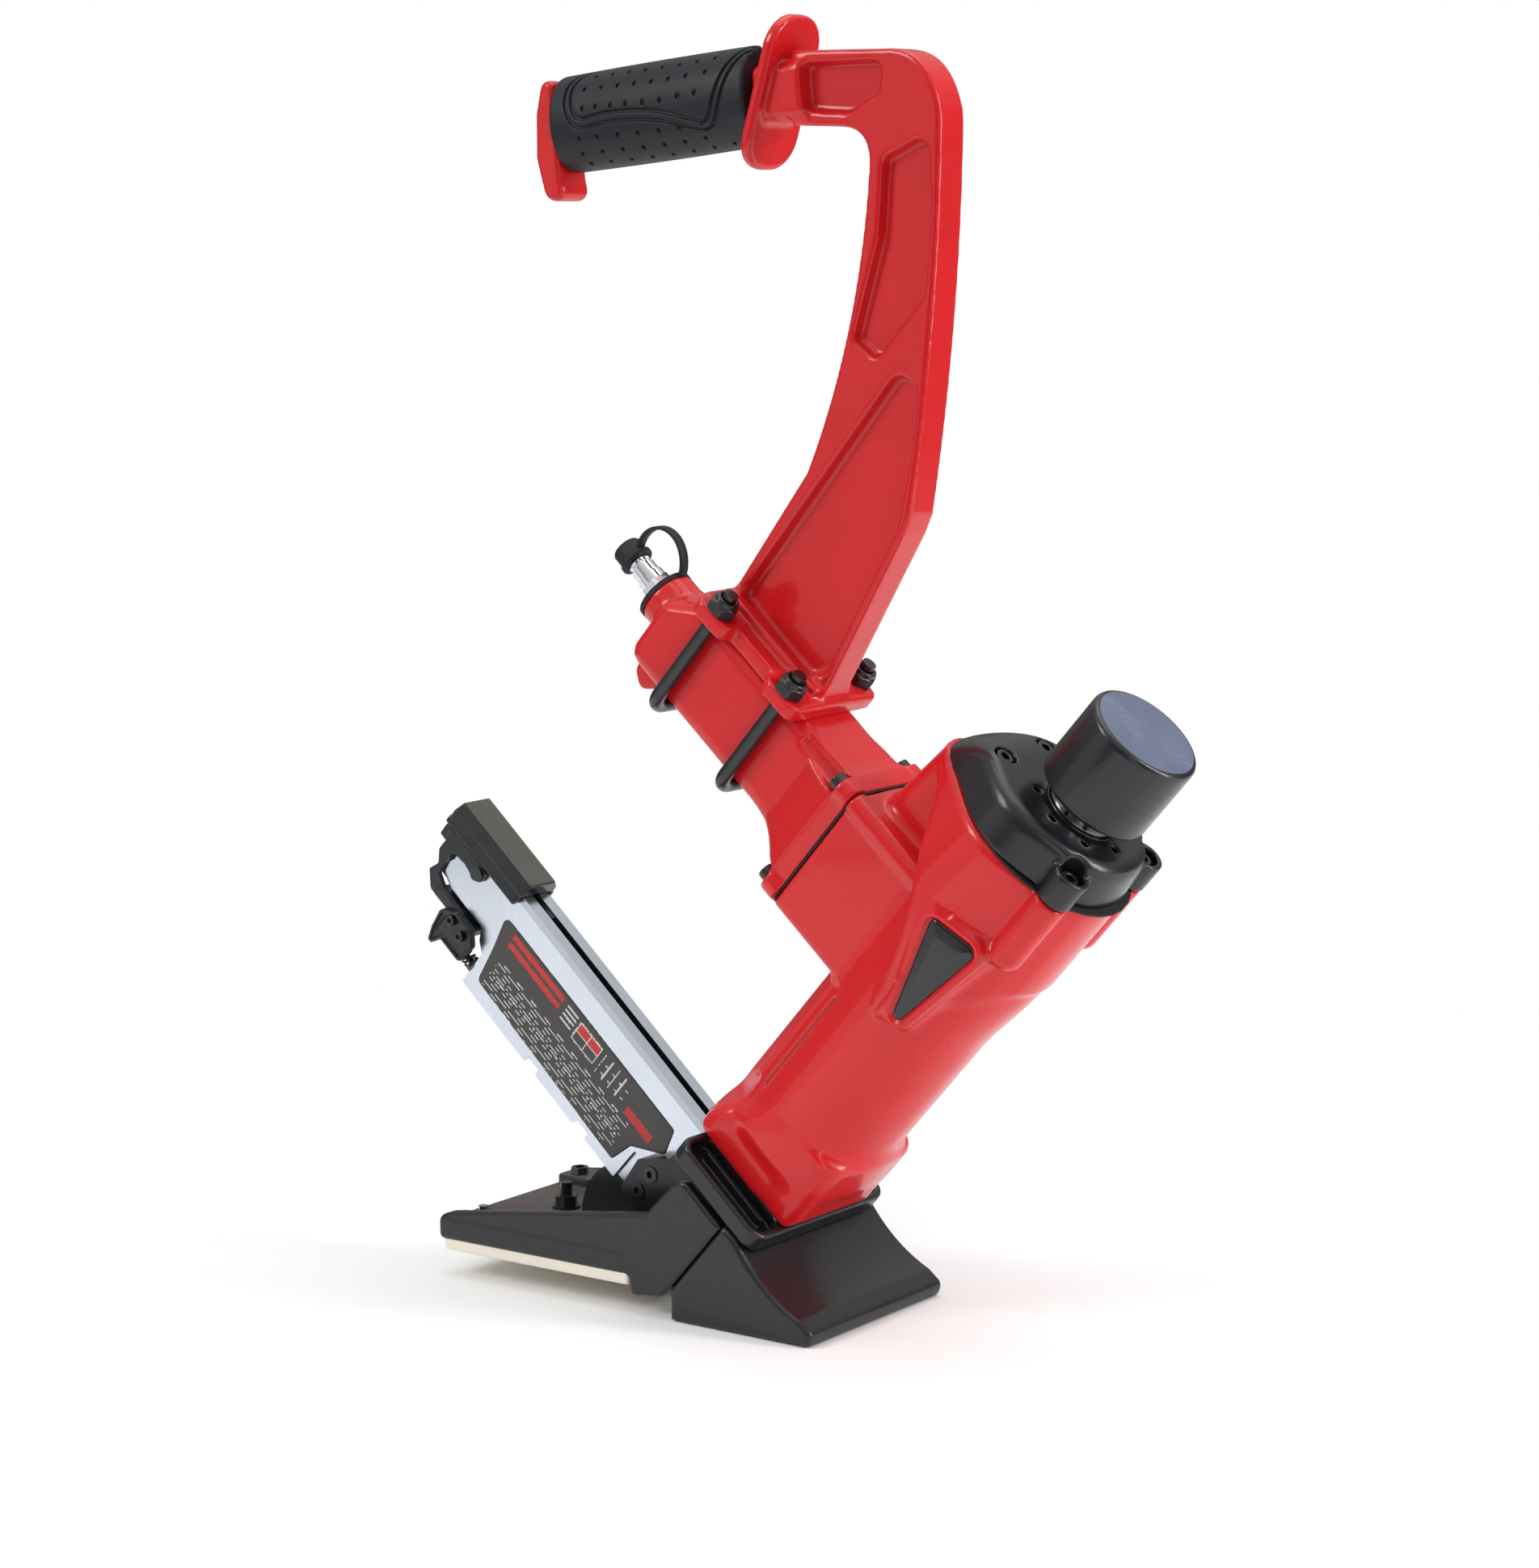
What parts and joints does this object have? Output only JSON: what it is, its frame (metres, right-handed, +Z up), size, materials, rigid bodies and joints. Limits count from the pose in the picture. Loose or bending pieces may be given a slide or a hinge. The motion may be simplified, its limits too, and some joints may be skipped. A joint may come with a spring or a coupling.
{
  "type": "flooring nailer",
  "caption": "Pneumatic flooring nailer struck with a mallet: angled barrel with a striking cap, raised handle, sloping magazine and a wide shoe.",
  "frame": {"origin": "centre of the front shoe's sole, on the floor", "axes": "+Z up, +X the way the striking cap leans, away from the magazine; the part is symmetric about Y = 0 but for its badge, label and latch"},
  "size_m": [0.4224, 0.104, 0.5902],
  "materials": {
    "casting_red": "gloss",
    "black_steel": "satin",
    "black_cast": "satin",
    "chrome": "polished",
    "steel": "satin",
    "black_screw": "satin",
    "rubber": "matte",
    "grip_rubber": "matte",
    "cream_pad": "satin",
    "gasket": "matte",
    "label": "satin",
    "badge": "gloss"
  },
  "bodies": {
    "tool": {"body_casting": "casting_red", "cylinder_sleeve": "steel", "bumper": "rubber", "head_gasket": "gasket", "head_cap": "black_cast", "head_screws": "black_screw", "valve_spring": "steel", "badge": "badge", "arm_gasket": "gasket", "arm_casting": "casting_red", "arm_screws": "black_screw", "air_plug": "chrome", "plug_seal": "rubber", "cap_strap": "rubber", "nose_casting": "black_steel", "nose_screws": "black_screw", "front_wedge": "black_cast", "wedge_screws": "black_screw", "base_plate": "black_cast", "base_pad": "cream_pad", "pad_screws": "steel", "pad_nuts": "black_screw", "plate_stud": "black_screw", "foot_gusset": "black_steel", "magazine_channel": "steel", "magazine_cover": "steel", "label_panel": "label", "magazine_clamps": "black_cast", "clamp_screws": "black_screw", "latch_pins": "black_screw", "latch_spring": "black_screw"},
    "ram": {"ram_cap": "black_steel", "ram_shaft": "chrome", "ram_seal": "rubber", "head_valve": "steel"},
    "piston": {"piston": "steel", "piston_ring": "rubber", "driver_blade": "chrome"},
    "pusher": {"pusher_cover": "black_steel", "pusher_shoe": "steel", "pusher_spring": "steel"},
    "latch": {"latch_lever": "black_steel", "latch_bracket": "black_steel", "bracket_screws": "black_screw"},
    "dust_cap": {"dust_cap": "rubber"},
    "handle": {"handle_casting": "casting_red", "grip_sleeve": "grip_rubber", "u_bolts": "black_screw", "u_bolt_nuts": "black_screw"}
  },
  "joints": [
    {"name": "ram_slide", "type": "slide", "parent": "tool", "child": "ram", "axis": [-0.6756, 0, -0.7373], "range_m": [0, 0.007], "stiffness_N_per_m": 4000, "springref_m": -0.006, "deforming": ["valve_spring"]},
    {"name": "piston_slide", "type": "slide", "parent": "tool", "child": "piston", "axis": [-0.6756, 0, -0.7373], "range_m": [0, 0.062]},
    {"name": "pusher_slide", "type": "slide", "parent": "tool", "child": "pusher", "axis": [0.7373, 0, -0.6756], "range_m": [0, 0.134]},
    {"name": "latch_hinge", "type": "hinge", "parent": "tool", "child": "latch", "pos_m": [-0.18537, 0, 0.19071], "axis": [0, -1, 0], "range_deg": [0, 3.5], "stiffness_Nm_per_rad": 2, "springref_deg": -8.59, "deforming": ["latch_spring"]},
    {"name": "dust_cap_slide", "type": "slide", "parent": "tool", "child": "dust_cap", "axis": [-0.7373, 0, 0.6756], "range_m": [0, 0.02], "deforming": ["cap_strap"]},
    {"name": "handle_slide", "type": "slide", "parent": "tool", "child": "handle", "axis": [-0.7373, 0, 0.6756], "range_m": [-0.008, 0.006]}
  ]
}
